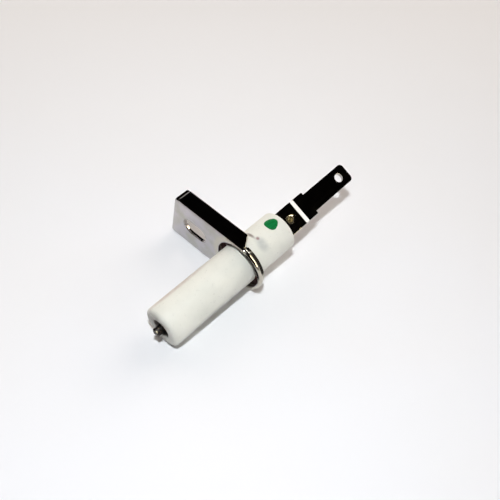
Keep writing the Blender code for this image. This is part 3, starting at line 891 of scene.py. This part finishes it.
def make_camera():
    """Camera high up beyond the spark tip and to one side, looking down on the part."""
    azimuth, elevation = CAMERA_AZIMUTH, CAMERA_ELEVATION
    right = Vector((math.cos(azimuth), math.sin(azimuth), 0.0))
    back = Vector((math.sin(azimuth) * math.cos(elevation), -math.cos(azimuth) * math.cos(elevation),
                   math.sin(elevation)))
    up = back.cross(right)
    centre = back * CAMERA_BACK + right * CAMERA_RIGHT + up * CAMERA_UP
    data = bpy.data.cameras.new("camera")
    data.sensor_width = CAMERA_SENSOR
    data.lens = CAMERA_LENS
    data.clip_start, data.clip_end = 0.002, 20.0
    camera = bpy.data.objects.new("camera", data)
    bpy.context.scene.collection.objects.link(camera)
    turn = Matrix((right, up, back)).transposed().to_4x4()
    camera.matrix_world = Matrix.Translation(centre * MM + Vector((0.0, AXIS_Y, 0.0))) @ turn
    bpy.context.scene.camera = camera


def make_floor():
    """Pale table top that the bracket's ring and the ceramic's spark end both rest on, painted lighter
    towards its far side.
    """
    slope = math.atan2(RING_RADIUS - CERAMIC_RADIUS, -SPARK_END_X)
    material, tree, shader = new_material("pale_table", Roughness=0.75)
    place = millimetres(tree)
    cloud = remap(tree, noise_value(tree, place, 0.04, detail=2.0), 0.35, 0.65)
    tint = blend_colour(tree, cloud, (0.88, 0.885, 0.91), (0.88, 0.88, 0.895))
    parts = coordinates(tree, place)
    # Painted light: the table grows lighter towards the far side, where the lamps light it less
    painted_far_light = remap(tree, calculate(tree, "ADD", parts["X"], parts["Y"]), -20.0, 90.0)
    connect(tree, shader, blend_colour(tree, painted_far_light, tint, (0.96, 0.97, 0.985)))
    bpy.ops.mesh.primitive_plane_add(size=3.0)
    floor = bpy.context.active_object
    floor.name = "table_top"
    floor.data.materials.append(material)
    floor.rotation_euler = (0.0, slope, 0.0)
    floor.location = (0.0, 0.0, -RING_RADIUS * MM)


def add_light(name, direction, distance, size, power, colour, length=None, glossy=True, diffuse=True):
    """An area light that faces the part: a disk, or a strip whose length runs around the X axis."""
    data = bpy.data.lights.new(name, "AREA")
    data.shape = "RECTANGLE" if length else "DISK"
    data.size = size
    data.size_y = length or size
    data.energy = power
    data.color = colour
    light = bpy.data.objects.new(name, data)
    bpy.context.scene.collection.objects.link(light)
    towards = Vector(direction).normalized()
    around = Vector((1.0, 0.0, 0.0)).cross(towards).normalized()
    turn = Matrix((around.cross(towards), around, towards)).transposed().to_4x4()
    light.matrix_world = Matrix.Translation(Vector((0.0, AXIS_Y, 0.0)) + towards * distance) @ turn
    light.visible_glossy = glossy
    light.visible_diffuse = diffuse


def make_light():
    """Small key light overhead, two soft warm windows, a strip lamp, and a room with a dark ceiling."""
    add_light("key", (-0.21, -0.23, 1.0), 0.118, 0.0103, 0.112, (0.91, 0.955, 0.99))
    add_light("left_window", (0.2, 1.5, 1.0), 0.23, 0.20, 0.165, (1.0, 0.87, 0.77), glossy=False)
    add_light("right_window", (1.5, 0.1, 1.0), 0.23, 0.20, 0.165, (1.0, 0.87, 0.77), glossy=False)
    add_light("strip_lamp", (0.43, -0.73, 0.50), 0.50, 0.06, 0.80, (1.0, 0.84, 0.54), length=0.42,
              diffuse=False)
    world = bpy.data.worlds.new("room")
    world.use_nodes = True
    tree = world.node_tree
    direction = add_node(tree, "ShaderNodeTexCoord").outputs["Generated"]
    parts = coordinates(tree, direction)
    side_walls = remap(tree, parts["X"], -0.6, -0.2)
    bright_wall = remap(tree, parts["X"], 0.75, 0.92)
    ceiling = remap(tree, parts["Z"], 0.28, 0.48)
    room = blend_colour(tree, side_walls, (0.04, 0.035, 0.035), (0.50, 0.475, 0.46))
    room = blend_colour(tree, bright_wall, room, (2.1, 2.05, 2.0))
    room = blend_colour(tree, ceiling, room, (0.0015, 0.0012, 0.0012))
    tree.links.new(room, tree.nodes["Background"].inputs["Color"])
    bpy.context.scene.world = world
    bpy.context.scene.view_settings.view_transform = "Standard"


# ---------------------------------------------------------------- everything

make_camera()
make_floor()
make_light()

plating = plated_steel("bright_plating", (0.49, 0.462, 0.48), (0.41, 0.395, 0.35), 0.05, 0.13,
                       (6.0, 0.5, 6.0), 0.0012, add_stains_and_shade=ring_tarnish_and_shade)
tinned = plated_steel("tab_plating", (0.50, 0.49, 0.47), (0.43, 0.42, 0.40), 0.03, 0.07,
                      (0.5, 6.0, 6.0), 0.0004, add_stains_and_shade=flux_stain)
cement = dark_cement()
make_ceramic(ceramic_finish())
make_rod(oxidised_steel())
make_cement("front_cement", "front_cement_plug", front_plug_low, front_plug_high, True, cement)
make_cement("rear_cement", "rear_cement_plug", rear_plug_low, rear_plug_high, False, cement)
make_bracket(plating)
make_clip(plating)
make_terminal(tinned)
make_weld(brass_braze())
make_dot(green_paint())
